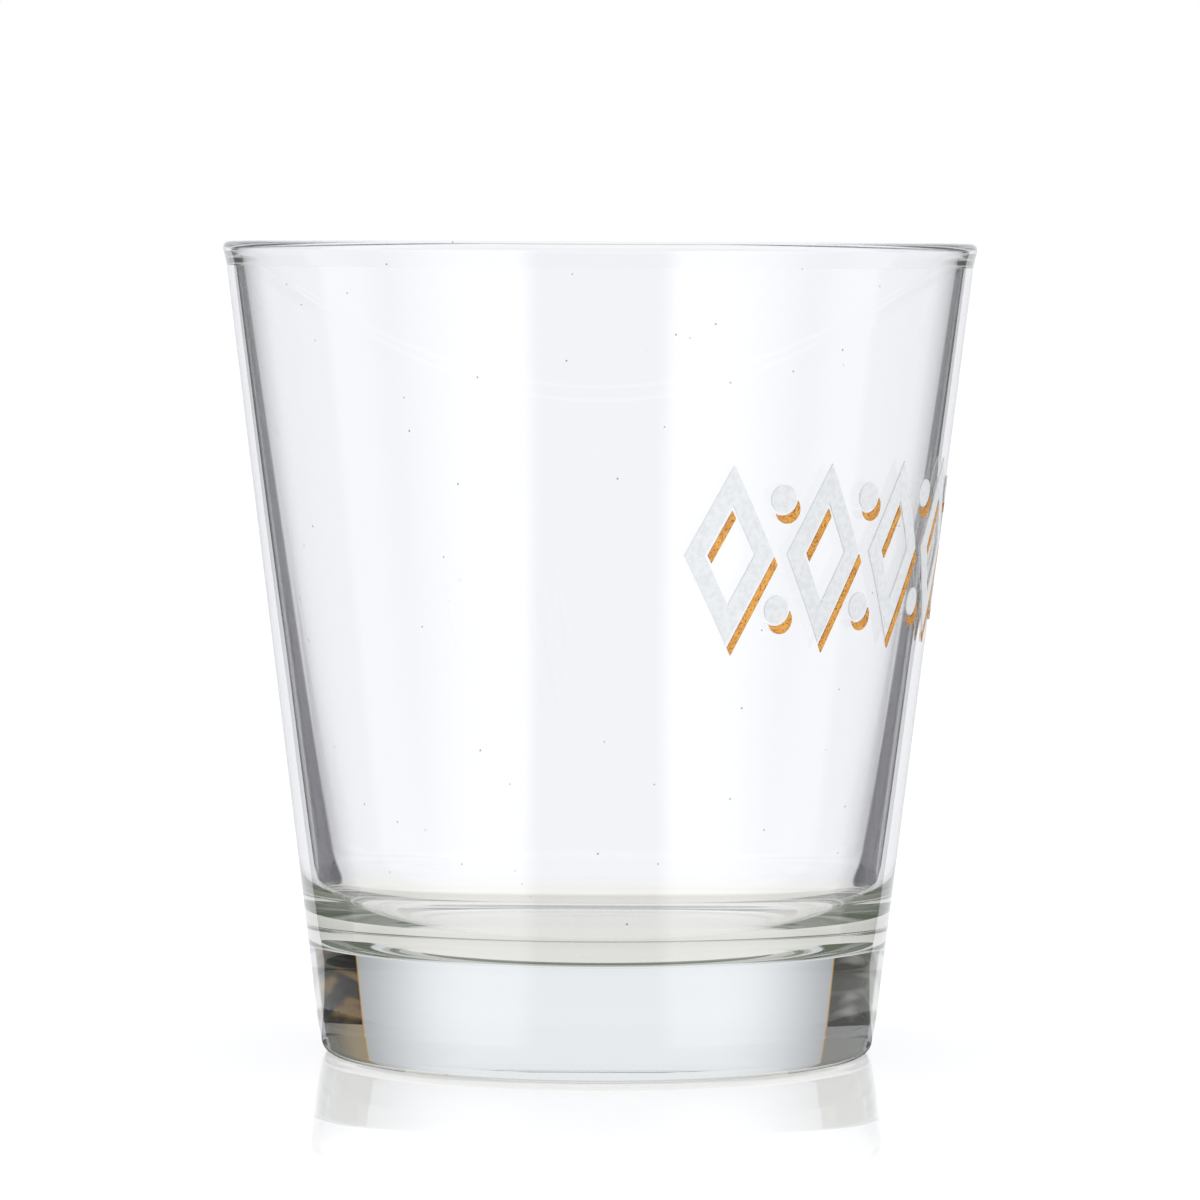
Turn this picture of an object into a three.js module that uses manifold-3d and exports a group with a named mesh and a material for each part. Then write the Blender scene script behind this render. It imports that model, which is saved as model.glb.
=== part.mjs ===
// Rocks glass: a pressed conical tumbler with a heavy base and a fired-on enamel print.
// Millimetres, +Z up. The origin is on the table at the centre of the foot, and -Y faces the viewer.

import * as THREE from 'three';
import { TessellateModifier } from 'three/addons/modifiers/TessellateModifier.js';
import { mergeVertices } from 'three/addons/utils/BufferGeometryUtils.js';
import Module from 'manifold-3d';

const wasm = await Module();
wasm.setup();

// Glass: the outer wall is a straight cone, given where it would meet the table and the rim's height.
const glassHeight = 95;
const footRadius = 32.35;
const mouthRadius = 44;
const rimWallThickness = 1.2;
const heelWallThickness = 1.75;
const rimLipRadius = 0.8;
const rimLipHeight = 2.65;

// Glass: the base.
const baseThickness = 13;
const heelRadius = 9.6;
const footZoneHeight = 4.1;
const footZoneInset = 0.22;
const footEdgeRadius = 1.5;
const bearingRingWidth = 4;
const pushUpDepth = 0.8;

// Print: a frieze of hollow lozenges with dots between them.
const printMidHeight = 60.2;
const printAzimuth = -32;
const lozengeCount = 5;
const lozengePitch = 12.6;
const lozengeHalfWidth = 5.4;
const lozengeHalfHeight = 10.2;
const lozengeStroke = 2.1;
const dotRadius = 1.6;
const dotRise = 6.3;

// Print: each gold shadow is its white film moved down to the right, less a strip of bare glass.
const shadowReach = 1.4;
const shadowGap = 0.3;
const filmThickness = 0.12;
const filmClearance = 0.05;

// Fineness of the facets.
const turnSegments = 80;
const arcStepDegrees = 14;
const pushUpRings = 4;
const dotSegments = 12;
const filmEdgeLength = 2.6;
const filmSplitRounds = 10;

// The wall's lean, with the directions along it and square to it in the (radius, height) plane.
const lean = Math.atan2(mouthRadius - footRadius, glassHeight);
const alongWall = new THREE.Vector2(Math.sin(lean), Math.cos(lean));
const outOfWall = new THREE.Vector2(Math.cos(lean), -Math.sin(lean));

function outerRadiusAt(height) {
  return footRadius + height * Math.tan(lean);
}

function arcSteps(from, to) {
  return Math.ceil(Math.abs(to - from) / THREE.MathUtils.degToRad(arcStepDegrees));
}

// Points of an arc, both ends included. Angles are in radians, from the radius axis towards the height axis.
function arc(centre, radius, from, to, steps = arcSteps(from, to)) {
  const points = [];
  for (let i = 0; i <= steps; i += 1) {
    const angle = from + (to - from) * (i / steps);
    const spoke = new THREE.Vector2(Math.cos(angle), Math.sin(angle)).multiplyScalar(radius);
    points.push(spoke.add(centre));
  }
  return points;
}

// The shallow dome under the base, from the axis out to the bearing ring.
function pushUp(ringInnerRadius) {
  const domeRadius = (ringInnerRadius ** 2 + pushUpDepth ** 2) / (2 * pushUpDepth);
  const centre = new THREE.Vector2(0, pushUpDepth - domeRadius);
  const rimAngle = Math.asin(-centre.y / domeRadius);
  return arc(centre, domeRadius, Math.PI / 2, rimAngle, pushUpRings);
}

// The rounded edge of the bearing ring and the foot zone above it, which leans in more than the wall.
function footEdge() {
  const wallStart = new THREE.Vector2(outerRadiusAt(footZoneHeight), footZoneHeight);
  const cornerRadius = footRadius - footZoneInset;
  const zoneLean = Math.atan2(wallStart.x - cornerRadius, footZoneHeight);
  const setback = footEdgeRadius * (1 - Math.sin(zoneLean)) / Math.cos(zoneLean);
  const centre = new THREE.Vector2(cornerRadius - setback, footEdgeRadius);
  return [...arc(centre, footEdgeRadius, -Math.PI / 2, -zoneLean), wallStart];
}

// The fire-polished lip, which swells equally out of both faces of the wall up to its round crown.
function rimLip() {
  const wallAcross = rimWallThickness / Math.cos(lean);
  const neckHeight = glassHeight - rimLipHeight;
  const outerNeck = new THREE.Vector2(outerRadiusAt(neckHeight), neckHeight);
  const innerNeck = new THREE.Vector2(outerNeck.x - wallAcross, neckHeight);
  const centreHeight = glassHeight - rimLipRadius;
  const centre = new THREE.Vector2(outerRadiusAt(centreHeight) - wallAcross / 2, centreHeight);
  return [outerNeck, ...arc(centre, rimLipRadius, -lean, Math.PI - lean), innerNeck];
}

// The inner corner between the wall, which comes down to it from under the lip, and the floor of the cup.
function heel(wallTop) {
  const centreHeight = baseThickness + heelRadius;
  const wallFootRadius = outerRadiusAt(centreHeight) - heelWallThickness / Math.cos(lean);
  const innerLean = Math.atan2(wallTop.x - wallFootRadius, wallTop.y - centreHeight);
  const centre = new THREE.Vector2(wallFootRadius - heelRadius / Math.cos(innerLean), centreHeight);
  return arc(centre, heelRadius, -innerLean, -Math.PI / 2);
}

// The whole section, from the axis underneath, up the outside and down the inside to the cup's floor.
function glassGeometry() {
  const edge = footEdge();
  const dome = pushUp(edge[0].x - bearingRingWidth);
  const lip = rimLip();
  const floorCentre = new THREE.Vector2(0, baseThickness);
  const section = [...dome, ...edge, ...lip, ...heel(lip.at(-1)), floorCentre];
  const glass = new THREE.LatheGeometry(section, turnSegments);
  glass.rotateX(Math.PI / 2);
  return glass;
}

// Flat artwork: x runs round the glass to the viewer's right, and y runs up the wall.
function lozenge(halfWidth, halfHeight) {
  const shape = new THREE.Shape();
  shape.moveTo(halfWidth, 0);
  shape.lineTo(0, halfHeight);
  shape.lineTo(-halfWidth, 0);
  shape.lineTo(0, -halfHeight);
  shape.closePath();
  return shape;
}

// The lozenge with every side moved out by a distance, or in by a negative one.
function offsetLozenge(distance) {
  const side = Math.hypot(lozengeHalfWidth, lozengeHalfHeight);
  const halfWidth = lozengeHalfWidth + distance * side / lozengeHalfHeight;
  const halfHeight = lozengeHalfHeight + distance * side / lozengeHalfWidth;
  return lozenge(halfWidth, halfHeight);
}

function dot(radius) {
  const shape = new THREE.Shape();
  shape.absarc(0, 0, radius, 0, 2 * Math.PI);
  return shape;
}

// The shadow falls along the lozenge's upper right side, so its strokes end square with the artwork.
const shadowShift = new THREE.Vector2(lozengeHalfWidth, -lozengeHalfHeight).setLength(shadowReach);

// A flat sheet of a shape as a solid for cutting, moved over if asked.
function sheet(shape, lowFace, highFace, shift = new THREE.Vector2()) {
  const options = { depth: highFace - lowFace, bevelEnabled: false, curveSegments: dotSegments };
  const slab = new THREE.ExtrudeGeometry(shape, options);
  slab.translate(shift.x, shift.y, lowFace);
  slab.deleteAttribute('normal');
  slab.deleteAttribute('uv');
  const merged = mergeVertices(slab);
  const vertProperties = new Float32Array(merged.attributes.position.array);
  const triVerts = new Uint32Array(merged.index.array);
  return new wasm.Manifold(new wasm.Mesh({ numProp: 3, vertProperties, triVerts }));
}

function film(shape, shift) {
  return sheet(shape, 0, filmThickness, shift);
}

// A cutter reaches through both faces of the film.
function cutter(shape, shift) {
  return sheet(shape, -filmThickness, 2 * filmThickness, shift);
}

// The white films and their gold shadows, flat and centred on their own place in the frieze.
const whiteLozenge = film(offsetLozenge(0)).subtract(cutter(offsetLozenge(-lozengeStroke)));
const goldLozengeEdge = film(offsetLozenge(0), shadowShift).subtract(cutter(offsetLozenge(shadowGap)));
const goldLozengeInset = film(offsetLozenge(-lozengeStroke - shadowGap))
  .subtract(cutter(offsetLozenge(-lozengeStroke), shadowShift));
const whiteDot = film(dot(dotRadius));
const goldDot = film(dot(dotRadius), shadowShift).subtract(cutter(dot(dotRadius + shadowGap)));

// Lays a flat film on the cone, with its place in the frieze given in the artwork's own x and y.
function wrapOnWall(solid, placeX, placeY) {
  const flat = solid.getMesh();
  const geometry = new THREE.BufferGeometry();
  geometry.setAttribute('position', new THREE.BufferAttribute(flat.vertProperties, 3));
  geometry.setIndex(new THREE.BufferAttribute(flat.triVerts, 1));
  const split = new TessellateModifier(filmEdgeLength, filmSplitRounds).modify(geometry);
  const wrapped = mergeVertices(split);
  const place = wrapped.attributes.position;
  const turnRadius = outerRadiusAt(printMidHeight);
  const middle = new THREE.Vector2(turnRadius, printMidHeight);
  for (let i = 0; i < place.count; i += 1) {
    const azimuth = THREE.MathUtils.degToRad(printAzimuth) + (placeX + place.getX(i)) / turnRadius;
    const section = middle.clone()
      .addScaledVector(alongWall, placeY + place.getY(i))
      .addScaledVector(outOfWall, filmClearance + place.getZ(i));
    place.setXYZ(i, section.x * Math.cos(azimuth), section.x * Math.sin(azimuth), section.y);
  }
  wrapped.computeVertexNormals();
  return wrapped;
}

const clearGlass = new THREE.MeshStandardMaterial({
  color: 0xf3f5f5, roughness: 0.03, metalness: 0, transparent: true, opacity: 0.35,
});
const whiteEnamel = new THREE.MeshStandardMaterial({ color: 0xe6e8eb, roughness: 0.4, metalness: 0 });
const goldEnamel = new THREE.MeshStandardMaterial({ color: 0xd8962f, roughness: 0.45, metalness: 0.3 });

const rocksGlass = new THREE.Group();

function addPiece(name, geometry, material) {
  const piece = new THREE.Mesh(geometry, material);
  piece.name = name;
  rocksGlass.add(piece);
}

addPiece('glass_body', glassGeometry(), clearGlass);

for (let i = 0; i < lozengeCount; i += 1) {
  const x = (i - (lozengeCount - 1) / 2) * lozengePitch;
  addPiece(`white_lozenge_${i + 1}`, wrapOnWall(whiteLozenge, x, 0), whiteEnamel);
  addPiece(`gold_lozenge_edge_${i + 1}`, wrapOnWall(goldLozengeEdge, x, 0), goldEnamel);
  addPiece(`gold_lozenge_inset_${i + 1}`, wrapOnWall(goldLozengeInset, x, 0), goldEnamel);
}

for (let i = 0; i < lozengeCount - 1; i += 1) {
  const x = (i + 1 - (lozengeCount - 1) / 2) * lozengePitch - lozengePitch / 2;
  for (const [row, y] of [['upper', dotRise], ['lower', -dotRise]]) {
    addPiece(`white_dot_${row}_${i + 1}`, wrapOnWall(whiteDot, x, y), whiteEnamel);
    addPiece(`gold_dot_${row}_${i + 1}`, wrapOnWall(goldDot, x, y), goldEnamel);
  }
}

export default rocksGlass;
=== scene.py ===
"""A clear rocks glass with a fired-on enamel print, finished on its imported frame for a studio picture."""
import math
from types import SimpleNamespace

import bpy
from mathutils import Matrix, Vector


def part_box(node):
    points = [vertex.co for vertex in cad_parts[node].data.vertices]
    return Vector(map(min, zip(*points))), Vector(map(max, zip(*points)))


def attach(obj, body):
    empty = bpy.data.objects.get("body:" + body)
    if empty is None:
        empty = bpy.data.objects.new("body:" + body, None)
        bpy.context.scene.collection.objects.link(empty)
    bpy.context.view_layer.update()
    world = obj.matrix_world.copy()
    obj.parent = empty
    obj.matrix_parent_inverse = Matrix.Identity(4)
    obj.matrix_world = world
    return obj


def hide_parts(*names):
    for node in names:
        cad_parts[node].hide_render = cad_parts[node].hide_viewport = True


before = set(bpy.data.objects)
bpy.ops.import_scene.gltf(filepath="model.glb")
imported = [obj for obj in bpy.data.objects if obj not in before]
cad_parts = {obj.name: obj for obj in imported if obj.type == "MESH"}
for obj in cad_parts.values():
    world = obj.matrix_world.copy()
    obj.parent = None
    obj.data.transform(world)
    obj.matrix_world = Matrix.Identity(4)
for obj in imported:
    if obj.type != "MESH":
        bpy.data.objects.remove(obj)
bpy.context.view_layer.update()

MM = 0.001

# The glass: its height comes from the frame, the rest is the section that the solid was turned from.
GLASS_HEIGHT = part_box("glass_body")[1].z
FOOT_RADIUS = 32.35 * MM
MOUTH_RADIUS = 44 * MM
RIM_WALL = 1.2 * MM
HEEL_WALL = 1.75 * MM
RIM_LIP_RADIUS = 0.8 * MM
RIM_LIP_HEIGHT = 2.65 * MM
BASE_THICKNESS = 13 * MM
HEEL_RADIUS = 9.6 * MM
FOOT_ZONE_HEIGHT = 4.1 * MM
FOOT_ZONE_INSET = 0.22 * MM
FOOT_EDGE_RADIUS = 1.5 * MM
BEARING_RING_WIDTH = 4 * MM
PUSH_UP_DEPTH = 0.8 * MM

LEAN = math.atan2(MOUTH_RADIUS - FOOT_RADIUS, GLASS_HEIGHT)
ALONG_WALL = Vector((math.sin(LEAN), math.cos(LEAN)))

# How finely the smooth surface is divided.
TURN_STEPS = 240
ARC_STEP = math.radians(4)
ROW_HEIGHT = 1.6 * MM
FOOT_EDGE_STEPS = 24
CREASE_STEP = 0.06 * MM
DOME_STEPS = 16
MERGE_DISTANCE = 0.001 * MM

# The glass itself and its specks.
GLASS_IOR = 1.52
GLASS_CLEAR = (1, 1, 1)
GLASS_TINT = (0.83, 0.88, 0.875)
GLASS_TINT_DENSITY = 10
SPECK_GREY = (0.12, 0.11, 0.1)
SPECK_CELLS = 230
SPECK_SIZE = (0.02, 0.036)

# The enamels: a soft cloud of two tones, and a finer grain that ruffles the surface.
WHITE_PALE = (0.755, 0.775, 0.79)
WHITE_DEEP = (0.68, 0.7, 0.72)
WHITE_ROUGHNESS = 0.38
WHITE_CLOUD_SCALE = 1500
WHITE_GRAIN_SCALE = 5200
WHITE_GRAIN_STRENGTH = 0.25
GOLD_BRIGHT = (0.75, 0.36, 0.045)
GOLD_DEEP = (0.6, 0.25, 0.025)
GOLD_BROWN = (0.25, 0.09, 0.02)
GOLD_ROUGHNESS = 0.42
GOLD_CLOUD_SCALE = 700
GOLD_GRAIN_SCALE = 4600
GOLD_GRAIN_STRENGTH = 0.3
GOLD_SPECKLE = (0.53, 0.63)
ENAMEL_CLOUD = (0.35, 0.7)
ENAMEL_CLOUD_DETAIL = 3
ENAMEL_GRAIN = 0.02 * MM
ENAMEL_GRAIN_DETAIL = 2

# The camera, fitted to the outline of the glass in the photograph, which is 1200 pixels square.
PHOTO_SIZE = 1200
FOCAL_PIXELS = 6847
SENSOR_WIDTH = 36
CAMERA_PLACE = Vector((0.16, -802.4, 97.1)) * MM
CAMERA_PITCH = math.radians(3.14)
CAMERA_ROLL = math.radians(0.25)
CAMERA_NEAREST = 0.05
CAMERA_FARTHEST = 100

# The white studio as the glass shows it. Azimuths are from straight behind or in front of the glass.
STUDIO_WHITE = (0.905, 0.912, 0.945)
STUDIO_SIDE_FALL = (math.radians(16), math.radians(52))
STUDIO_SIDE_LEVEL = 0.45
STUDIO_PAST_STANDS = math.radians(4)
STUDIO_FRONT = (0.0, -0.3)
STUDIO_FRONT_LEVEL = 0.35
SIDE_BLEND = 0.01

# A dark stand at each side. Light crosses in the base, so each one shows in the corner opposite to it.
RIGHT_STAND_ARC = (math.radians(44.5), math.radians(73.5))
RIGHT_STAND_BROWN = (0.016, 0.012, 0.011)
RIGHT_STAND_AMBER = (0.19, 0.11, 0.035)
RIGHT_STAND_UPPER_BROWN = (0.11, 0.09, 0.07)
RIGHT_STAND_UPPER_AMBER = (0.33, 0.26, 0.17)
RIGHT_STAND_UPPER_FALL = (math.radians(46), math.radians(68))
LEFT_STAND_ARC = (math.radians(43), math.radians(73.5))
LEFT_STAND_GREY = (0.075, 0.072, 0.066)
LEFT_STAND_GREY_LIGHT = (0.27, 0.26, 0.24)
LEFT_STAND_UPPER_GREY = (0.27, 0.265, 0.26)
STAND_EDGE = math.radians(0.4)
STAND_FRINGE = (0.65, 0.36, 0.1)
STAND_FRINGE_WIDTH = math.radians(0.8)
STAND_HEIGHT = (math.radians(38), math.radians(50))
STAND_MIRRORED_FROM = (math.radians(9), math.radians(12))
STAND_MIRRORED_OLIVE = (0.2, 0.2, 0.14)
STAND_STEP = (math.radians(4.4), math.radians(4.8))
STAND_STEP_RISE = 0.135
STAND_BLOTCH_ACROSS = 3
STAND_BLOTCH_UP = 420
STAND_BLOTCH_RISE = 0.112
STAND_BLOTCH_SCALE = 1
STAND_BLOTCH_DETAIL = 1
STAND_BLOTCH_FADE = (0.45, 0.7)

# The dim room above and in front of the studio.
ROOM_GREY = (0.3, 0.31, 0.25)
ROOM_FADE = (math.radians(20), math.radians(26))
ROOM_START = (0.3, -0.05)
CEILING_GREY = (0.2, 0.21, 0.17)
CEILING_FADE = (math.radians(46), math.radians(56))

# A blue-grey card behind the glass, which darkens both ends of the rim.
RIM_CARD_BLUE = (0.1, 0.15, 0.2)
RIM_CARD_START = (math.radians(14), math.radians(34))
RIM_CARD_HEIGHT = (math.radians(30), math.radians(38))
RIM_CARD_BEHIND = (0.0, 0.1)

# Light is caught in the heel of the glass for many turns before it leaves; where it has turned several times,
# the studio and floor paint it dim and olive, a painted shade.
LIGHT_BOUNCES = 96
HEEL_OLIVE_SHADE = (0.12, 0.13, 0.085)
HEEL_DEPTH = (2.2, 4.2)
HEEL_SHARE = 0.72

# Between none and one on a count of how often light was turned.
COUNT_STEP = (0.2, 0.8)

# Dark cloths on the floor. Each edge runs straight from a place beside the axis, soft between two azimuths.
CLOTH_GREY = (0.08, 0.07, 0.1)
CLOTH_DARK_AND_FOOT_SHADE = (0.03, 0.03, 0.035)
CLOTH_START = (21.9 * MM, math.radians(12.6), math.radians(13.8))
CLOTH_SOFT_START = (21.9 * MM, math.radians(6.5), math.radians(13.8))
CLOTH_SOFT_SHARE = 0.12
CLOTH_GAP = (39 * MM, math.radians(17), math.radians(18.5))
CLOTH_DARK_NEAR = (47.6 * MM, math.radians(29), math.radians(30.4))
CLOTH_DARK_FAR = (82 * MM, math.radians(23.5), math.radians(24.7))
CLOTH_END_NEAR = (77 * MM, math.radians(52), math.radians(78))
CLOTH_END_FAR = (127 * MM, math.radians(28), math.radians(58))
CLOTH_REACH = (32 * MM, 46 * MM)
# A painted shade beside the foot, in the dark cloth's colour, which only the outside of the glass mirrors.
FOOT_SHADE = (22 * MM, math.radians(49), math.radians(52))
FOOT_SHADE_REACH = (82 * MM, 92 * MM)
FOOT_SHADE_FRONT = (-42 * MM, -12 * MM)

# Strips painted on the floor in front that glow brighter than white, standing in for strip lamps; the outside
# of the glass mirrors them as upright stripes.
STRIP_FAR_SIDE = 4.8 * MM
STRIP_FAR_START = (math.radians(16), math.radians(23.5))
STRIP_NEAR_SIDE = -4.6 * MM
STRIP_NEAR_START = (math.radians(20), math.radians(28))
STRIP_END = (math.radians(34), math.radians(74))
STRIP_GLOW_LEVEL = 2.6
STRIP_FOOT_REACH = (37 * MM, 46 * MM)
STRIP_NEAR_REACH = (60 * MM, 130 * MM)
STRIP_NEAR_SHARE = 0.5

# The floor, with a painted warm shade where the glass stands.
FLOOR_SIZE = 60
FLOOR_WHITE = (0.948, 0.956, 0.99)
FLOOR_PAINT = (0.4, 0.4, 0.4)
FLOOR_LIFT = 0.7
FLOOR_GLOSS = 0.4
FLOOR_GLOSS_ROUGHNESS = 0.002
FLOOR_GLOSS_FADE = (66 * MM, 120 * MM)
# Painted warm shade and painted shade levels near the foot, which only the glass shows.
CONTACT_WARM_SHADE = (0.94, 0.925, 0.88)
CONTACT_WARM_SHADE_REACH = (45 * MM, 90 * MM)
CONTACT_SHADE_UNDER = 0.81
CONTACT_SHADE_RING = 0.77
CONTACT_INNER = (27 * MM, 30 * MM)
CONTACT_OUTER = (50 * MM, 55 * MM)

TOP_LAMP_HEIGHT = 1.4
TOP_LAMP_SIZE = 1.6
TOP_LAMP_RADIANCE = 0.5

PLAIN_WHITE = (1, 1, 1, 1)


def outer_radius(height):
    return FOOT_RADIUS + height * math.tan(LEAN)


def arc(centre, radius, start, end, steps=None):
    """Points of an arc in the plane of radius and height, both ends included."""
    steps = steps or math.ceil(abs(end - start) / ARC_STEP)
    angles = [start + (end - start) * i / steps for i in range(steps + 1)]
    return [centre + radius * Vector((math.cos(a), math.sin(a))) for a in angles]


def straight(start, end):
    """Points between two ends of a straight run, without the ends."""
    steps = math.ceil((end - start).length / ROW_HEIGHT)
    return [start.lerp(end, i / steps) for i in range(1, steps)]


def crisp_line(below, corner, target):
    """A corner held crisp by a point just below it and another just above it on the way to the target."""
    return [below, corner, corner + CREASE_STEP * (target - corner).normalized()]


def push_up(ring_inner):
    """The shallow dome under the base, from the axis out to the bearing ring."""
    dome_radius = (ring_inner ** 2 + PUSH_UP_DEPTH ** 2) / (2 * PUSH_UP_DEPTH)
    centre = Vector((0, PUSH_UP_DEPTH - dome_radius))
    return arc(centre, dome_radius, math.pi / 2, math.asin(-centre.y / dome_radius), DOME_STEPS)


def foot_edge():
    """The rounded edge and the foot zone, which leans in more, up to the crisp line where the wall starts."""
    wall_start = Vector((outer_radius(FOOT_ZONE_HEIGHT), FOOT_ZONE_HEIGHT))
    corner = Vector((FOOT_RADIUS - FOOT_ZONE_INSET, 0))
    lean = math.atan2(wall_start.x - corner.x, wall_start.y)
    setback = FOOT_EDGE_RADIUS * (1 - math.sin(lean)) / math.cos(lean)
    centre = Vector((corner.x - setback, FOOT_EDGE_RADIUS))
    edge = arc(centre, FOOT_EDGE_RADIUS, -math.pi / 2, -lean, FOOT_EDGE_STEPS)
    below = wall_start - CREASE_STEP * Vector((math.sin(lean), math.cos(lean)))
    return edge + straight(edge[-1], below) + crisp_line(below, wall_start, wall_start + ALONG_WALL)


def rim_lip():
    """The fire-polished lip, which swells equally out of both faces of the wall up to its round crown."""
    wall_across = RIM_WALL / math.cos(LEAN)
    neck_height = GLASS_HEIGHT - RIM_LIP_HEIGHT
    outer_neck = Vector((outer_radius(neck_height), neck_height))
    inner_neck = outer_neck - Vector((wall_across, 0))
    centre_height = GLASS_HEIGHT - RIM_LIP_RADIUS
    centre = Vector((outer_radius(centre_height) - wall_across / 2, centre_height))
    crown = arc(centre, RIM_LIP_RADIUS, -LEAN, math.pi - LEAN)
    outside = crisp_line(outer_neck - CREASE_STEP * ALONG_WALL, outer_neck, crown[0])
    inside = crisp_line(inner_neck - CREASE_STEP * ALONG_WALL, inner_neck, crown[-1])
    inside.reverse()
    return outside + straight(outside[-1], crown[0]) + crown + straight(crown[-1], inside[0]) + inside


def heel(wall_top):
    """The inner corner between the wall, which comes down to it from under the lip, and the cup's floor."""
    heel_height = BASE_THICKNESS + HEEL_RADIUS
    wall_foot = Vector((outer_radius(heel_height) - HEEL_WALL / math.cos(LEAN), heel_height))
    inner_lean = math.atan2(wall_top.x - wall_foot.x, wall_top.y - wall_foot.y)
    centre = wall_foot - Vector((HEEL_RADIUS / math.cos(inner_lean), 0))
    return arc(centre, HEEL_RADIUS, -inner_lean, -math.pi / 2)


def glass_section():
    """The section from the axis underneath, up the outside and down the inside to the cup's floor."""
    edge = foot_edge()
    lip = rim_lip()
    floor_centre = Vector((0, BASE_THICKNESS))
    runs = [push_up(edge[0].x - BEARING_RING_WIDTH), edge, lip, heel(lip[-1]), [floor_centre]]
    section = list(runs[0])
    for before, after in zip(runs, runs[1:]):
        section += straight(before[-1], after[0]) + after
    return section


def deselect_all():
    bpy.ops.object.select_all(action="DESELECT")


def turn_glass():
    """Draws the section point by point, spins it round the axis and closes it."""
    section = [Vector((p.x, 0, p.y)) for p in glass_section()]
    deselect_all()
    bpy.ops.mesh.primitive_plane_add(size=MM, location=(0, 0, 0))
    glass = bpy.context.object
    glass.name = "turned_glass"
    bpy.ops.object.mode_set(mode="EDIT")
    bpy.ops.mesh.select_all(action="SELECT")
    bpy.ops.mesh.merge(type="CENTER")
    bpy.ops.transform.translate(value=section[0])
    for before, after in zip(section, section[1:]):
        bpy.ops.mesh.extrude_region_move(TRANSFORM_OT_translate={"value": after - before})
    bpy.ops.mesh.select_all(action="SELECT")
    bpy.ops.mesh.spin(steps=TURN_STEPS, angle=2 * math.pi, center=(0, 0, 0), axis=(0, 0, 1))
    bpy.ops.mesh.select_all(action="SELECT")
    bpy.ops.mesh.remove_doubles(threshold=MERGE_DISTANCE)
    bpy.ops.mesh.normals_make_consistent(inside=False)
    bpy.ops.object.mode_set(mode="OBJECT")
    bpy.ops.object.shade_smooth()
    return glass


def add_camera():
    data = bpy.data.cameras.new("photo_camera")
    data.sensor_width = SENSOR_WIDTH
    data.lens = FOCAL_PIXELS / PHOTO_SIZE * SENSOR_WIDTH
    data.clip_start = CAMERA_NEAREST
    data.clip_end = CAMERA_FARTHEST
    camera = bpy.data.objects.new("photo_camera", data)
    bpy.context.scene.collection.objects.link(camera)
    tilt = Matrix.Rotation(math.pi / 2 - CAMERA_PITCH, 4, "X")
    roll = Matrix.Rotation(CAMERA_ROLL, 4, "Z")
    camera.matrix_world = Matrix.Translation(CAMERA_PLACE) @ tilt @ roll
    bpy.context.scene.camera = camera


def add_node(tree, kind, values=None, joins=None, **settings):
    """Adds a shader node, sets its sockets and joins them to other nodes' outputs."""
    node = tree.nodes.new(kind)
    for name, value in settings.items():
        setattr(node, name, value)
    for socket, value in (values or {}).items():
        node.inputs[socket].default_value = value
    for socket, source in (joins or {}).items():
        tree.links.new(source, node.inputs[socket])
    return node


def add_math(tree, operation, *terms):
    """Adds a Math node whose terms are numbers or other nodes' outputs, and returns its output."""
    node = tree.nodes.new("ShaderNodeMath")
    node.operation = operation
    for socket, term in zip(node.inputs, terms):
        if isinstance(term, (int, float)):
            socket.default_value = term
        else:
            tree.links.new(term, socket)
    return node.outputs["Value"]


def add_product(tree, first, *others):
    """Multiplies any number of terms."""
    for other in others:
        first = add_math(tree, "MULTIPLY", first, other)
    return first


def add_opposite(tree, share):
    return add_math(tree, "SUBTRACT", 1.0, share)


def add_fade(tree, source, low, high, at_low=0.0, at_high=1.0):
    """A smooth step of a value from one level to another."""
    joins = {"Value": source}
    values = {"From Min": low, "From Max": high, "To Min": at_low, "To Max": at_high}
    node = add_node(tree, "ShaderNodeMapRange", values, joins, interpolation_type="SMOOTHSTEP")
    return node.outputs["Result"]


def add_band(tree, source, low, high, soft):
    """One inside a band of a value and zero outside it, with soft edges."""
    rise = add_fade(tree, source, low - soft, low + soft)
    fall = add_fade(tree, source, high - soft, high + soft, 1.0, 0.0)
    return add_math(tree, "MULTIPLY", rise, fall)


def add_mix(tree, factor, first, second):
    """Mixes two colours, each a colour or another node's output."""
    node = tree.nodes.new("ShaderNodeMix")
    node.data_type = "RGBA"
    tree.links.new(factor, node.inputs["Factor"])
    for socket, colour in (("A", first), ("B", second)):
        target = next(s for s in node.inputs if s.name == socket and s.type == "RGBA")
        if isinstance(colour, tuple):
            target.default_value = (*colour, 1)
        else:
            tree.links.new(colour, target)
    return next(s for s in node.outputs if s.type == "RGBA")


def add_noise(tree, place, scale, detail):
    values = {"Scale": scale, "Detail": detail}
    return add_node(tree, "ShaderNodeTexNoise", values, {"Vector": place}).outputs["Fac"]


def add_distance(tree, coords):
    """How far a place on the floor is from the axis of the glass."""
    return add_node(tree, "ShaderNodeVectorMath", joins={0: coords}, operation="LENGTH").outputs["Value"]


def start_material(name, roughness):
    """A new material with its surface shader and the coordinates of the piece that carries it."""
    material = bpy.data.materials.new(name)
    material.use_nodes = True
    tree = material.node_tree
    surface = tree.nodes["Principled BSDF"]
    surface.inputs["Roughness"].default_value = roughness
    coords = add_node(tree, "ShaderNodeTexCoord").outputs["Object"]
    return material, surface, coords


def ruffle(tree, surface, grain, strength):
    """Lets the fine grain of the enamel stand up from its surface."""
    values = {"Strength": strength, "Distance": ENAMEL_GRAIN}
    bump = add_node(tree, "ShaderNodeBump", values, {"Height": grain})
    tree.links.new(bump.outputs["Normal"], surface.inputs["Normal"])


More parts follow.
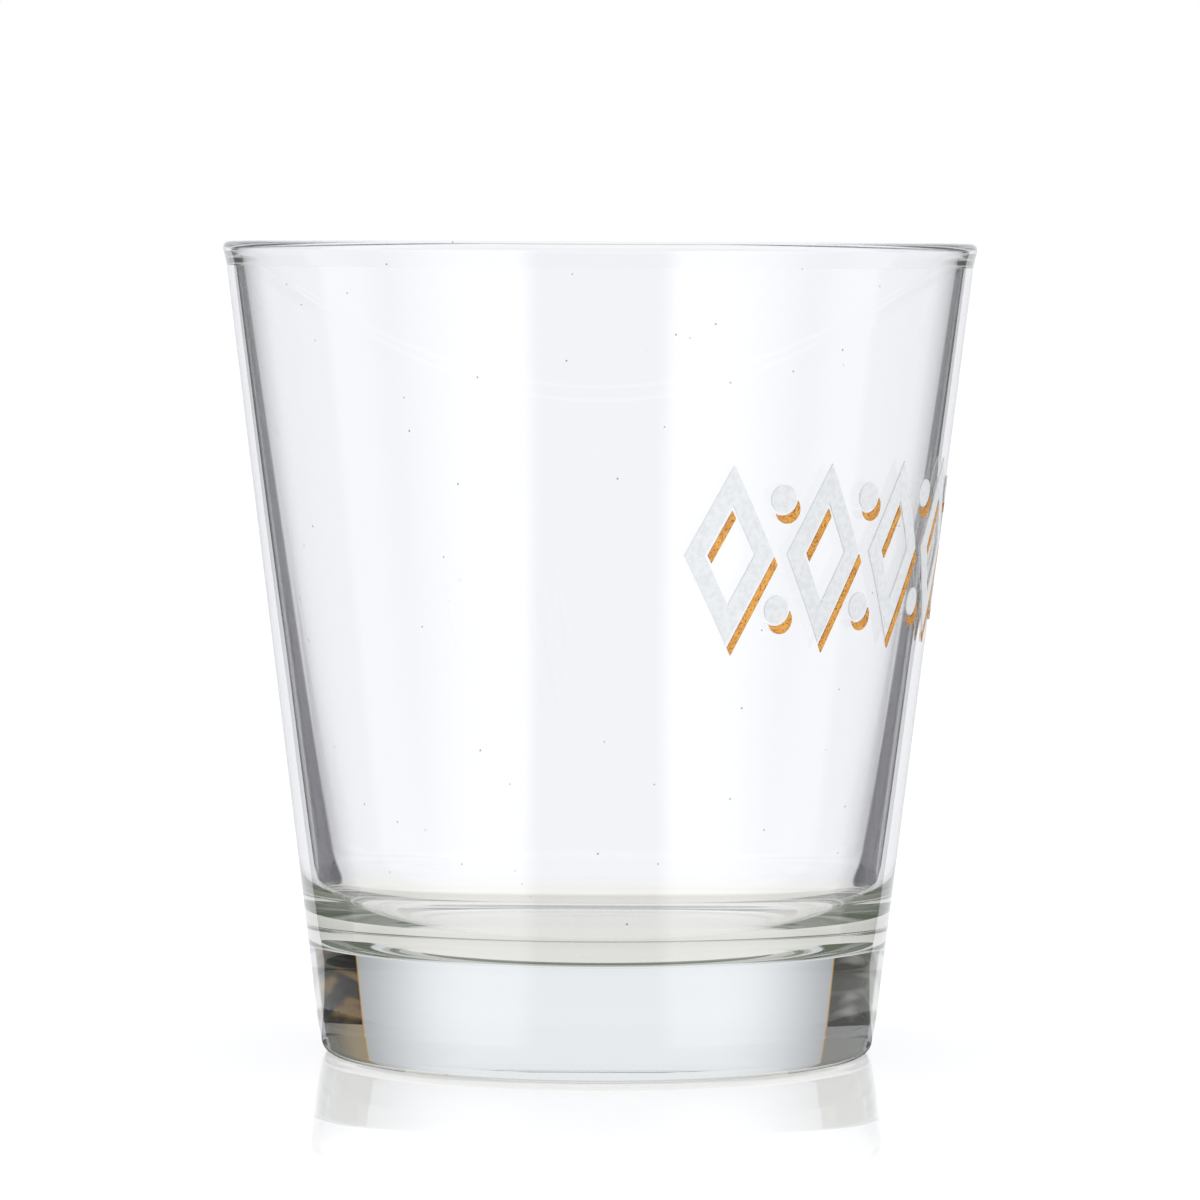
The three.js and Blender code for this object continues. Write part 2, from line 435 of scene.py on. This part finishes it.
def clear_glass():
    """Soda-lime glass, faintly green through the thick base, with a few dark specks."""
    material, surface, coords = start_material("clear_soda_lime_glass", 0.0)
    tree = material.node_tree
    surface.inputs["IOR"].default_value = GLASS_IOR
    surface.inputs["Transmission Weight"].default_value = 1.0
    cells = add_node(tree, "ShaderNodeTexVoronoi", {"Scale": SPECK_CELLS}, {"Vector": coords})
    speck = add_fade(tree, cells.outputs["Distance"], *SPECK_SIZE, 1.0, 0.0)
    tree.links.new(add_mix(tree, speck, GLASS_CLEAR, SPECK_GREY), surface.inputs["Base Color"])
    tint = tree.nodes.new("ShaderNodeVolumeAbsorption")
    tint.inputs["Color"].default_value = (*GLASS_TINT, 1)
    tint.inputs["Density"].default_value = GLASS_TINT_DENSITY
    tree.links.new(tint.outputs["Volume"], tree.nodes["Material Output"].inputs["Volume"])
    return material


def white_enamel():
    """Satin white enamel, a little uneven from the screen and the firing."""
    material, surface, coords = start_material("white_fired_enamel", WHITE_ROUGHNESS)
    tree = material.node_tree
    cloud = add_noise(tree, coords, WHITE_CLOUD_SCALE, ENAMEL_CLOUD_DETAIL)
    white = add_mix(tree, add_fade(tree, cloud, *ENAMEL_CLOUD), WHITE_PALE, WHITE_DEEP)
    tree.links.new(white, surface.inputs["Base Color"])
    grain = add_noise(tree, coords, WHITE_GRAIN_SCALE, ENAMEL_GRAIN_DETAIL)
    ruffle(tree, surface, grain, WHITE_GRAIN_STRENGTH)
    return material


def gold_enamel():
    """Amber-gold enamel with fine brown speckle."""
    material, surface, coords = start_material("gold_fired_enamel", GOLD_ROUGHNESS)
    tree = material.node_tree
    cloud = add_noise(tree, coords, GOLD_CLOUD_SCALE, ENAMEL_CLOUD_DETAIL)
    gold = add_mix(tree, add_fade(tree, cloud, *ENAMEL_CLOUD), GOLD_BRIGHT, GOLD_DEEP)
    grain = add_noise(tree, coords, GOLD_GRAIN_SCALE, ENAMEL_GRAIN_DETAIL)
    speckled = add_mix(tree, add_fade(tree, grain, *GOLD_SPECKLE), gold, GOLD_BROWN)
    tree.links.new(speckled, surface.inputs["Base Color"])
    ruffle(tree, surface, grain, GOLD_GRAIN_STRENGTH)
    return material


def any_yet(tree, count):
    return add_fade(tree, count, *COUNT_STEP)


def none_yet(tree, count):
    return add_fade(tree, count, *COUNT_STEP, 1.0, 0.0)


def lights_a_surface(tree, path):
    """One for light that falls on enamel or floor, straight or through the glass."""
    return any_yet(tree, path.outputs["Diffuse Depth"])


def heel_shade_share(tree, path):
    """How far painted olive shade dims light that the heel has turned round several times."""
    return add_fade(tree, path.outputs["Glossy Depth"], *HEEL_DEPTH, 0.0, HEEL_SHARE)


def studio_ray(tree):
    """Where light comes from in the studio, and how the glass has turned it."""
    coords = add_node(tree, "ShaderNodeTexCoord").outputs["Generated"]
    split = add_node(tree, "ShaderNodeSeparateXYZ", joins={"Vector": coords})
    path = add_node(tree, "ShaderNodeLightPath")
    turn = add_math(tree, "ARCTAN2", split.outputs["X"], split.outputs["Y"])
    mirrored = any_yet(tree, path.outputs["Glossy Depth"])
    outside = none_yet(tree, path.outputs["Transmission Depth"])
    return SimpleNamespace(
        path=path,
        turn=turn,
        azimuth=add_math(tree, "PINGPONG", turn, math.pi / 2),
        elevation=add_math(tree, "ARCSINE", split.outputs["Z"]),
        away=split.outputs["Y"],
        on_right=add_fade(tree, split.outputs["X"], -SIDE_BLEND, SIDE_BLEND),
        in_front=add_fade(tree, split.outputs["Y"], *STUDIO_FRONT),
        mirrored=mirrored,
        first_mirror=add_math(tree, "MULTIPLY", mirrored, outside),
    )


def either_side(tree, ray, right, left):
    """One value at the right of the studio and another at its left."""
    at_right = add_math(tree, "MULTIPLY", right, ray.on_right)
    at_left = add_math(tree, "MULTIPLY", left, add_opposite(tree, ray.on_right))
    return add_math(tree, "ADD", at_right, at_left)


def studio_white(tree, ray):
    """White, falling off to the sides as far as the stands, and dim where the glass mirrors the front."""
    side_white = tuple(STUDIO_SIDE_LEVEL * c for c in STUDIO_WHITE)
    front_white = tuple(STUDIO_FRONT_LEVEL * c for c in STUDIO_WHITE)
    stand_end = RIGHT_STAND_ARC[1]
    past_stands = add_fade(tree, ray.azimuth, stand_end, stand_end + STUDIO_PAST_STANDS)
    white = add_mix(tree, add_fade(tree, ray.azimuth, *STUDIO_SIDE_FALL), STUDIO_WHITE, side_white)
    white = add_mix(tree, past_stands, white, STUDIO_WHITE)
    return add_mix(tree, add_math(tree, "MULTIPLY", ray.mirrored, ray.in_front), white, front_white)


def stand_blotches(tree, ray):
    """Soft light patches, which rise a little towards the sides."""
    across = add_math(tree, "MULTIPLY", ray.turn, STAND_BLOTCH_ACROSS)
    slant = add_math(tree, "MULTIPLY_ADD", ray.azimuth, -STAND_BLOTCH_RISE, ray.elevation)
    up = add_math(tree, "MULTIPLY", slant, STAND_BLOTCH_UP)
    place = add_node(tree, "ShaderNodeCombineXYZ", joins={"X": across, "Y": up}).outputs["Vector"]
    cloud = add_noise(tree, place, STAND_BLOTCH_SCALE, STAND_BLOTCH_DETAIL)
    return add_fade(tree, cloud, *STAND_BLOTCH_FADE)


def stand_colour(tree, ray):
    """Brown at the right and grey at the left, paler above a slanting step, with an amber inner edge."""
    blotch = stand_blotches(tree, ray)
    brown = add_mix(tree, blotch, RIGHT_STAND_BROWN, RIGHT_STAND_AMBER)
    grey = add_mix(tree, blotch, LEFT_STAND_GREY, LEFT_STAND_GREY_LIGHT)
    lower = add_mix(tree, ray.on_right, grey, brown)
    sideways = add_fade(tree, ray.azimuth, *RIGHT_STAND_UPPER_FALL)
    upper_brown = add_mix(tree, sideways, RIGHT_STAND_UPPER_AMBER, RIGHT_STAND_UPPER_BROWN)
    upper = add_mix(tree, ray.on_right, LEFT_STAND_UPPER_GREY, upper_brown)
    rise_at_edge = STAND_STEP_RISE * RIGHT_STAND_ARC[0]
    rise = add_math(tree, "MULTIPLY_ADD", ray.azimuth, -STAND_STEP_RISE, rise_at_edge)
    above_step = add_fade(tree, add_math(tree, "ADD", ray.elevation, rise), *STAND_STEP)
    colour = add_mix(tree, above_step, lower, upper)
    starts = (RIGHT_STAND_ARC[0], LEFT_STAND_ARC[0])
    fringes = [add_fade(tree, ray.azimuth, s, s + STAND_FRINGE_WIDTH, 1.0, 0.0) for s in starts]
    colour = add_mix(tree, either_side(tree, ray, *fringes), colour, STAND_FRINGE)
    return add_mix(tree, ray.mirrored, colour, STAND_MIRRORED_OLIVE)


def stand_share(tree, ray):
    """One on the stands. The glass mirrors them only behind it and well above the floor."""
    right = add_band(tree, ray.azimuth, *RIGHT_STAND_ARC, STAND_EDGE)
    left = add_band(tree, ray.azimuth, *LEFT_STAND_ARC, STAND_EDGE)
    below_top = add_fade(tree, ray.elevation, *STAND_HEIGHT, 1.0, 0.0)
    too_low = add_fade(tree, ray.elevation, *STAND_MIRRORED_FROM, 1.0, 0.0)
    out_of_sight = add_math(tree, "MAXIMUM", ray.in_front, too_low)
    hidden = add_math(tree, "MULTIPLY", ray.mirrored, out_of_sight)
    return add_product(tree, either_side(tree, ray, right, left), below_top, add_opposite(tree, hidden))


def add_room(tree, ray, studio):
    """The dim room above the studio and in front, darkest at its ceiling."""
    room = add_mix(tree, add_fade(tree, ray.elevation, *CEILING_FADE), ROOM_GREY, CEILING_GREY)
    above = add_fade(tree, ray.elevation, *ROOM_FADE)
    facing_room = add_fade(tree, ray.away, *ROOM_START)
    return add_mix(tree, add_math(tree, "MULTIPLY", above, facing_room), studio, room)


def rim_card_share(tree, ray):
    """One on the card, which only the outside of the glass mirrors."""
    return add_product(
        tree,
        ray.first_mirror,
        ray.path.outputs["Is Singular Ray"],
        add_fade(tree, ray.azimuth, *RIM_CARD_START),
        add_fade(tree, ray.elevation, *RIM_CARD_HEIGHT, 1.0, 0.0),
        add_fade(tree, ray.away, *RIM_CARD_BEHIND),
    )


def add_world():
    """Plain white behind the glass and on every surface, with the studio and its room shown in the glass."""
    world = bpy.data.worlds.new("studio")
    bpy.context.scene.world = world
    world.use_nodes = True
    tree = world.node_tree
    tree.nodes.clear()
    ray = studio_ray(tree)
    studio = add_mix(tree, stand_share(tree, ray), studio_white(tree, ray), stand_colour(tree, ray))
    surround = add_room(tree, ray, studio)
    surround = add_mix(tree, ray.first_mirror, surround, STUDIO_WHITE)
    surround = add_mix(tree, rim_card_share(tree, ray), surround, RIM_CARD_BLUE)
    # Painted olive shade for light that the heel has turned several times.
    surround = add_mix(tree, heel_shade_share(tree, ray.path), surround, HEEL_OLIVE_SHADE)
    seen_in_glass = add_node(tree, "ShaderNodeBackground", joins={"Color": surround})
    seen_by_camera = add_node(tree, "ShaderNodeBackground", {"Color": PLAIN_WHITE})
    lights = lights_a_surface(tree, ray.path)
    plain = add_math(tree, "MAXIMUM", ray.path.outputs["Is Camera Ray"], lights)
    joins = {0: plain, 1: seen_in_glass.outputs[0], 2: seen_by_camera.outputs[0]}
    both = add_node(tree, "ShaderNodeMixShader", joins=joins)
    add_node(tree, "ShaderNodeOutputWorld", joins={"Surface": both.outputs[0]})


def floor_ray(tree, coords, path):
    """Where light meets the floor round the glass, and how the glass has turned it."""
    split = add_node(tree, "ShaderNodeSeparateXYZ", joins={"Vector": coords})
    last_mirrored = path.outputs["Is Reflection Ray"]
    outside = none_yet(tree, path.outputs["Transmission Depth"])
    return SimpleNamespace(
        depth=split.outputs["Y"],
        sideways=add_math(tree, "ABSOLUTE", split.outputs["X"]),
        away=add_math(tree, "ABSOLUTE", split.outputs["Y"]),
        towards=add_math(tree, "MULTIPLY", split.outputs["Y"], -1.0),
        reach=add_distance(tree, coords),
        behind=add_fade(tree, split.outputs["Y"], -MM, MM),
        straight_through=none_yet(tree, path.outputs["Glossy Depth"]),
        last_mirrored=last_mirrored,
        first_mirror=add_math(tree, "MULTIPLY", last_mirrored, outside),
    )


def past_edge(tree, sideways, away, edge, at_low=0.0, at_high=1.0):
    """A step across a straight edge on the floor, given by its start beside the axis and two azimuths."""
    side, low, high = edge
    azimuth = add_math(tree, "ARCTAN2", add_math(tree, "SUBTRACT", sideways, side), away)
    return add_fade(tree, azimuth, low, high, at_low, at_high)


def grey_cloth(tree, ray, clear_of_foot):
    """The cloth that shows straight through the glass as a dark band near each side."""
    start = past_edge(tree, ray.sideways, ray.away, CLOTH_START)
    soft = past_edge(tree, ray.sideways, ray.away, CLOTH_SOFT_START, 0.0, CLOTH_SOFT_SHARE)
    before_gap = past_edge(tree, ray.sideways, ray.away, CLOTH_GAP, 1.0, 0.0)
    begun = add_math(tree, "MAXIMUM", start, soft)
    return add_product(tree, begun, before_gap, clear_of_foot, ray.straight_through)


def dark_cloth_and_foot_shade(tree, ray, clear_of_foot):
    """The cloth behind that the inside of the glass mirrors, carried up to the foot as painted shade where
    the outside mirrors it, and a painted shade beside the foot for the outside.
    """
    near = past_edge(tree, ray.sideways, ray.away, CLOTH_DARK_NEAR)
    far = past_edge(tree, ray.sideways, ray.away, CLOTH_DARK_FAR)
    shown = add_math(tree, "MULTIPLY", ray.behind, add_opposite(tree, ray.straight_through))
    # Painted shade: where the outside of the glass mirrors it, the dark cloth reaches right up to the foot.
    shade_to_foot = add_math(tree, "MULTIPLY", ray.last_mirrored, ray.behind)
    cloth = add_product(
        tree,
        add_math(tree, "MAXIMUM", near, far),
        shown,
        past_edge(tree, ray.sideways, ray.away, CLOTH_END_NEAR, 1.0, 0.0),
        past_edge(tree, ray.sideways, ray.away, CLOTH_END_FAR, 1.0, 0.0),
        add_math(tree, "MAXIMUM", clear_of_foot, shade_to_foot),
    )
    backwards = add_math(tree, "MAXIMUM", ray.depth, 0.0)
    # Painted shade beside the foot, which only the outside of the glass mirrors.
    shade_beside_foot = add_product(
        tree,
        past_edge(tree, ray.sideways, backwards, FOOT_SHADE),
        add_fade(tree, ray.reach, *FOOT_SHADE_REACH, 1.0, 0.0),
        add_fade(tree, ray.depth, *FOOT_SHADE_FRONT),
        ray.first_mirror,
    )
    return add_math(tree, "MAXIMUM", cloth, shade_beside_foot)


def painted_contact_shade(tree, reach):
    """Painted light and shade on the floor: a set level under the base for the light that comes through it,
    darker in a ring where the foot meets the floor.
    """
    into_ring = add_fade(tree, reach, *CONTACT_INNER, CONTACT_SHADE_UNDER, CONTACT_SHADE_RING)
    out_of_ring = add_fade(tree, reach, *CONTACT_OUTER, 0.0, 1.0 - CONTACT_SHADE_RING)
    return add_math(tree, "ADD", into_ring, out_of_ring)


def glowing_front_strips(tree, ray):
    """How much the floor in front glows along two painted strips that stand in for strip lamps, as the
    outside of the glass mirrors it.
    """
    rise_far = past_edge(tree, ray.sideways, ray.towards, (STRIP_FAR_SIDE, *STRIP_FAR_START))
    rise_near = past_edge(tree, ray.sideways, ray.towards, (STRIP_NEAR_SIDE, *STRIP_NEAR_START))
    return add_product(
        tree,
        add_math(tree, "MAXIMUM", rise_far, rise_near),
        past_edge(tree, ray.sideways, ray.towards, (STRIP_FAR_SIDE, *STRIP_END), STRIP_GLOW_LEVEL, 0.0),
        add_fade(tree, ray.reach, *STRIP_NEAR_REACH, STRIP_NEAR_SHARE, 1.0),
        add_fade(tree, ray.reach, *STRIP_FOOT_REACH),
        add_fade(tree, ray.towards, -MM, MM),
        ray.first_mirror,
    )


def floor_as_glass_shows_it(tree, coords, path):
    """White, with painted shade where the glass stands, and dark cloths where only the edges of the glass
    show them.
    """
    ray = floor_ray(tree, coords, path)
    clear_of_foot = add_fade(tree, ray.reach, *CLOTH_REACH)
    # A painted warm shade near the glass, fading to white further out.
    colour = add_mix(tree, add_fade(tree, ray.reach, *CONTACT_WARM_SHADE_REACH), CONTACT_WARM_SHADE, FLOOR_WHITE)
    colour = add_mix(tree, grey_cloth(tree, ray, clear_of_foot), colour, CLOTH_GREY)
    colour = add_mix(tree, dark_cloth_and_foot_shade(tree, ray, clear_of_foot), colour, CLOTH_DARK_AND_FOOT_SHADE)
    # Painted olive shade for light that the heel has turned several times.
    colour = add_mix(tree, heel_shade_share(tree, path), colour, HEEL_OLIVE_SHADE)
    # The floor's level: the painted contact shade, plus the glow of the painted strips.
    level = add_math(tree, "ADD", painted_contact_shade(tree, ray.reach), glowing_front_strips(tree, ray))
    return add_node(tree, "ShaderNodeEmission", joins={"Color": colour, "Strength": level}).outputs[0]


def floor_as_camera_sees_it(tree, coords):
    """Pale paint that keeps the shadow, polished where the glass stands."""
    paint = add_node(tree, "ShaderNodeBsdfDiffuse", {"Color": (*FLOOR_PAINT, 1)})
    lift = add_node(tree, "ShaderNodeEmission", {"Color": PLAIN_WHITE, "Strength": FLOOR_LIFT})
    lifted = add_node(tree, "ShaderNodeAddShader", joins={0: paint.outputs[0], 1: lift.outputs[0]})
    gloss = {"Color": PLAIN_WHITE, "Roughness": FLOOR_GLOSS_ROUGHNESS}
    polish = add_node(tree, "ShaderNodeBsdfGlossy", gloss)
    share = add_fade(tree, add_distance(tree, coords), *FLOOR_GLOSS_FADE, FLOOR_GLOSS, 0.0)
    joins = {0: share, 1: lifted.outputs[0], 2: polish.outputs[0]}
    return add_node(tree, "ShaderNodeMixShader", joins=joins).outputs[0]


def floor_finish():
    material = bpy.data.materials.new("pale_floor")
    material.use_nodes = True
    tree = material.node_tree
    tree.nodes.clear()
    coords = add_node(tree, "ShaderNodeTexCoord").outputs["Object"]
    path = add_node(tree, "ShaderNodeLightPath")
    turned = add_math(tree, "MAXIMUM", path.outputs["Is Transmission Ray"], path.outputs["Is Glossy Ray"])
    in_glass = add_math(tree, "MULTIPLY", turned, add_opposite(tree, lights_a_surface(tree, path)))
    seen_by_camera = floor_as_camera_sees_it(tree, coords)
    seen_in_glass = floor_as_glass_shows_it(tree, coords, path)
    joins = {0: in_glass, 1: seen_by_camera, 2: seen_in_glass}
    both = add_node(tree, "ShaderNodeMixShader", joins=joins)
    add_node(tree, "ShaderNodeOutputMaterial", joins={"Surface": both.outputs[0]})
    return material


def add_top_lamp():
    """A wide softbox overhead."""
    lamp = bpy.data.lights.new("top_lamp", "AREA")
    lamp.size = TOP_LAMP_SIZE
    lamp.energy = TOP_LAMP_RADIANCE * math.pi * TOP_LAMP_SIZE ** 2
    holder = bpy.data.objects.new("top_lamp", lamp)
    holder.location = (0, 0, TOP_LAMP_HEIGHT)
    holder.visible_glossy = False
    holder.visible_transmission = False
    bpy.context.scene.collection.objects.link(holder)


def add_floor():
    deselect_all()
    bpy.ops.mesh.primitive_plane_add(size=FLOOR_SIZE, location=(0, 0, 0))
    floor = bpy.context.object
    floor.name = "floor"
    floor.data.materials.append(floor_finish())


glass = turn_glass()
glass.data.materials.append(clear_glass())
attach(glass, "root")
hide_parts("glass_body")

finishes = {"white": white_enamel(), "gold": gold_enamel()}
for name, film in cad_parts.items():
    colour = name.split("_")[0]
    if colour in finishes:
        film.data.materials.clear()
        film.data.materials.append(finishes[colour])

add_camera()
add_world()
add_floor()
add_top_lamp()

scene = bpy.context.scene
scene.view_settings.view_transform = "Standard"
scene.cycles.max_bounces = LIGHT_BOUNCES
scene.cycles.transmission_bounces = LIGHT_BOUNCES
scene.cycles.glossy_bounces = LIGHT_BOUNCES
